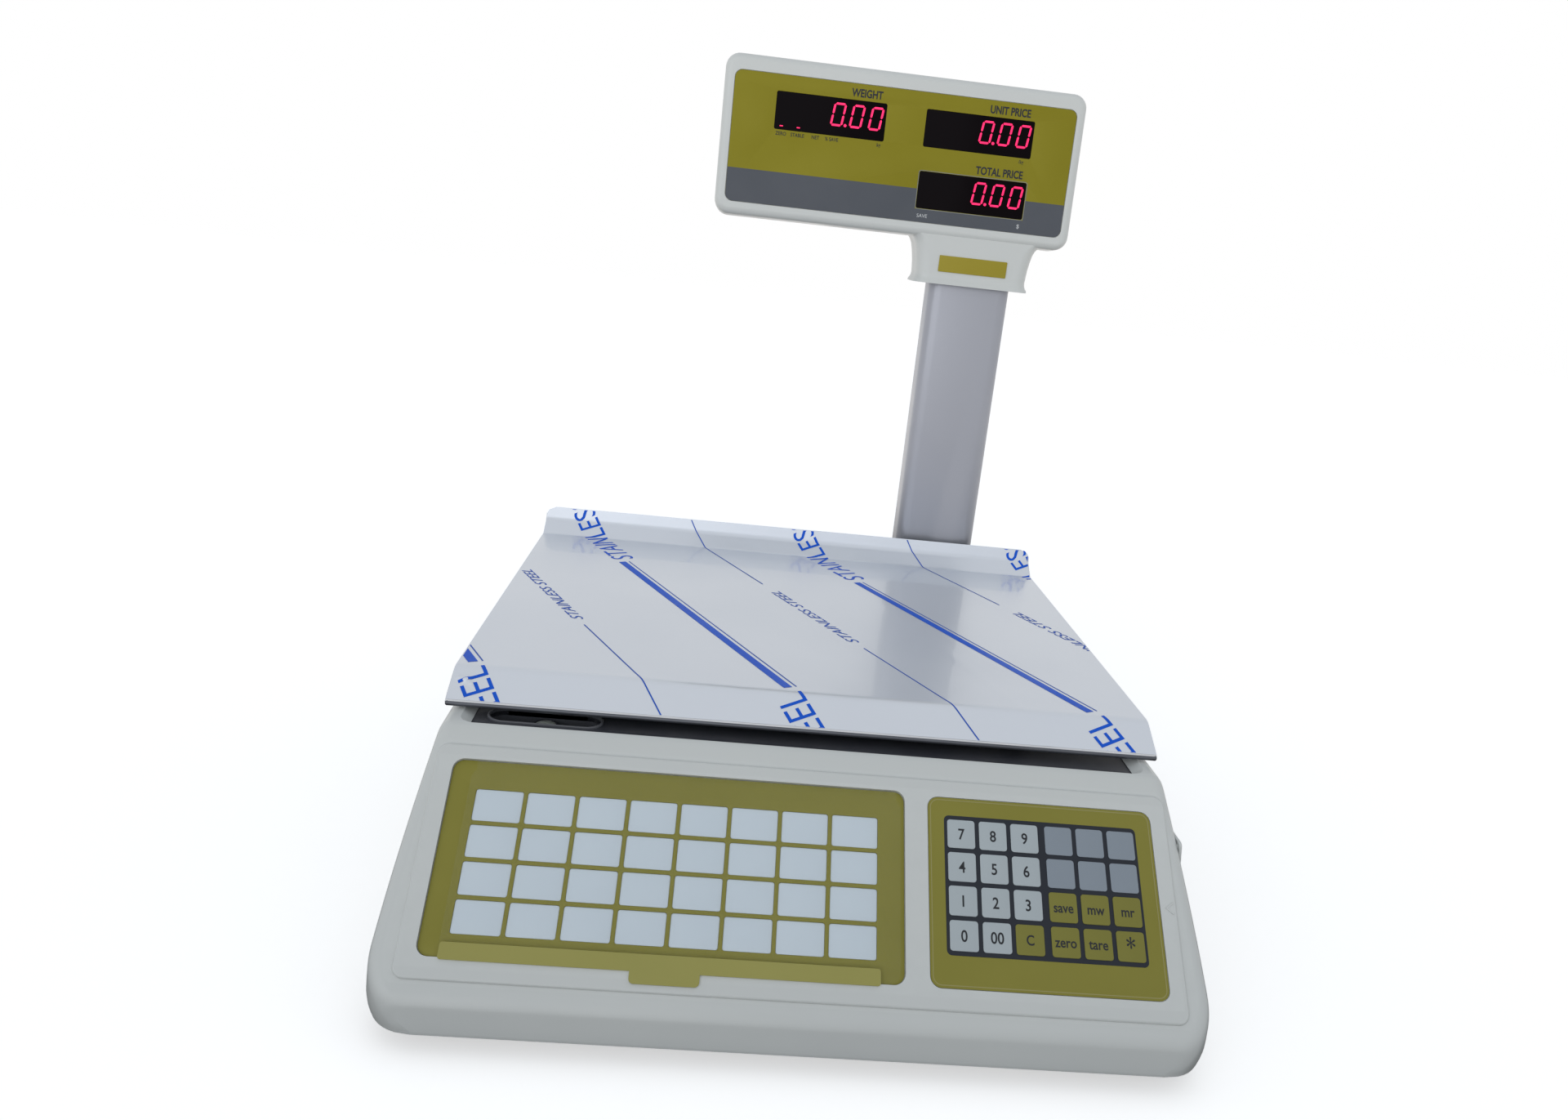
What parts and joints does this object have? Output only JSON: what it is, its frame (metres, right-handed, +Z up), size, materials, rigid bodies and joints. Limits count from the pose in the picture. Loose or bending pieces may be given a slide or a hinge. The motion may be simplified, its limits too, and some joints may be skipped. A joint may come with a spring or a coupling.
{
  "type": "retail price scale",
  "caption": "Counter price-computing scale with a sloping key deck, steel platter and an off-centre column carrying a two-sided numeric display.",
  "frame": {"origin": "on the counter, in the middle of the bounding box in plan", "axes": "+X to the right of the person at the keys, +Y towards the column at the back, +Z up"},
  "size_m": [0.35, 0.4208, 0.4331],
  "materials": {
    "housing_abs": "warm white moulded ABS, fine satin grain",
    "black_abs": "black moulded ABS",
    "vial_acrylic": "clear vial with yellow-green liquid",
    "cast_alloy": "die-cast aluminium, as cast",
    "cell_alloy": "machined aluminium",
    "gold_print": "olive-gold screen print on polyester foil",
    "label_print": "olive-gold and slate screen print on polycarbonate foil",
    "clear_acrylic": "clear flexible plastic",
    "smoked_acrylic": "dark smoked acrylic",
    "zinc_steel": "zinc plated",
    "stainless_platter": "stainless sheet under a bluish protective film",
    "circuit_board": "green solder mask",
    "transformer_steel": "varnished laminations",
    "battery_case": "dark grey case",
    "switch_plastic": "black gloss",
    "column_finish": "silver-grey painted aluminium tube",
    "cable_jacket": "grey PVC",
    "foot_rubber": "black moulded rubber",
    "led_red": "red LED segments"
  },
  "bodies": {
    "base": {"upper_housing": "housing_abs", "bottom_pan": "housing_abs", "battery_door": "housing_abs", "platform_cover": "black_abs", "level_vial": "vial_acrylic", "base_frame": "cast_alloy", "preset_keypad": "gold_print", "price_keypad": "gold_print", "cell_spacer_lower": "zinc_steel", "load_cell": "cell_alloy", "main_board": "circuit_board", "power_board": "circuit_board", "transformer": "transformer_steel", "battery": "battery_case", "power_inlet": "black_abs", "switch_frame": "black_abs", "column_bracket": "housing_abs", "column": "column_finish", "column_cable": "cable_jacket", "neck_plate": "gold_print", "overload_stop_front_left": "zinc_steel", "overload_stop_front_right": "zinc_steel", "overload_stop_back_left": "zinc_steel", "overload_stop_back_right": "zinc_steel", "bracket_screw_1": "zinc_steel", "bracket_screw_2": "zinc_steel", "bracket_screw_3": "zinc_steel", "bracket_screw_4": "zinc_steel", "head_front_shell": "housing_abs", "front_display_label": "label_print", "front_display_filter": "smoked_acrylic", "front_display_board": "circuit_board", "front_weight_leds": "led_red", "front_unit_price_leds": "led_red", "front_total_price_leds": "led_red", "head_rear_shell": "housing_abs", "rear_display_label": "label_print", "rear_display_filter": "smoked_acrylic", "rear_display_board": "circuit_board", "rear_weight_leds": "led_red", "rear_unit_price_leds": "led_red", "rear_total_price_leds": "led_red"},
    "platform": {"spider": "cast_alloy", "cell_spacer_upper": "zinc_steel", "spider_pad_front_left": "foot_rubber", "spider_pad_front_right": "foot_rubber", "spider_pad_back_left": "foot_rubber", "spider_pad_back_right": "foot_rubber"},
    "platter": {"platter": "stainless_platter"},
    "preset_cover": {"preset_cover": "clear_acrylic"},
    "power_rocker": {"switch_rocker": "switch_plastic"},
    "foot_front_left": {"foot_pad_front_left": "foot_rubber", "foot_stud_front_left": "zinc_steel"},
    "foot_front_right": {"foot_pad_front_right": "foot_rubber", "foot_stud_front_right": "zinc_steel"},
    "foot_back_left": {"foot_pad_back_left": "foot_rubber", "foot_stud_back_left": "zinc_steel"},
    "foot_back_right": {"foot_pad_back_right": "foot_rubber", "foot_stud_back_right": "zinc_steel"}
  },
  "joints": [
    {"name": "platform_deflection", "type": "slide", "parent": "base", "child": "platform", "axis": [0, 0, -1], "range_m": [0, 0.0008], "stiffness_N_per_m": 400000, "springref_m": -0.00008, "deforming": ["load_cell"]},
    {"name": "platter_lift", "type": "slide", "parent": "platform", "child": "platter", "axis": [0, 0, 1], "range_m": [0, 0.06]},
    {"name": "preset_cover_hinge", "type": "hinge", "parent": "base", "child": "preset_cover", "pos_m": [-0.053, -0.13809, 0.09111], "axis": [-1, 0, 0], "range_deg": [0, 115]},
    {"name": "power_rocker_hinge", "type": "hinge", "parent": "base", "child": "power_rocker", "pos_m": [0.16923, -0.13739, 0.06988], "axis": [0, -1, 0], "range_deg": [0, 12.8]},
    {"name": "foot_turn_front_left", "type": "hinge", "parent": "base", "child": "foot_front_left", "pos_m": [-0.14, -0.17239, 0], "axis": [0, 0, 1], "continuous": true},
    {"name": "foot_turn_front_right", "type": "hinge", "parent": "base", "child": "foot_front_right", "pos_m": [0.14, -0.17239, 0], "axis": [0, 0, 1], "continuous": true},
    {"name": "foot_turn_back_left", "type": "hinge", "parent": "base", "child": "foot_back_left", "pos_m": [-0.14, 0.13161, 0], "axis": [0, 0, 1], "continuous": true},
    {"name": "foot_turn_back_right", "type": "hinge", "parent": "base", "child": "foot_back_right", "pos_m": [0.14, 0.13161, 0], "axis": [0, 0, 1], "continuous": true}
  ]
}
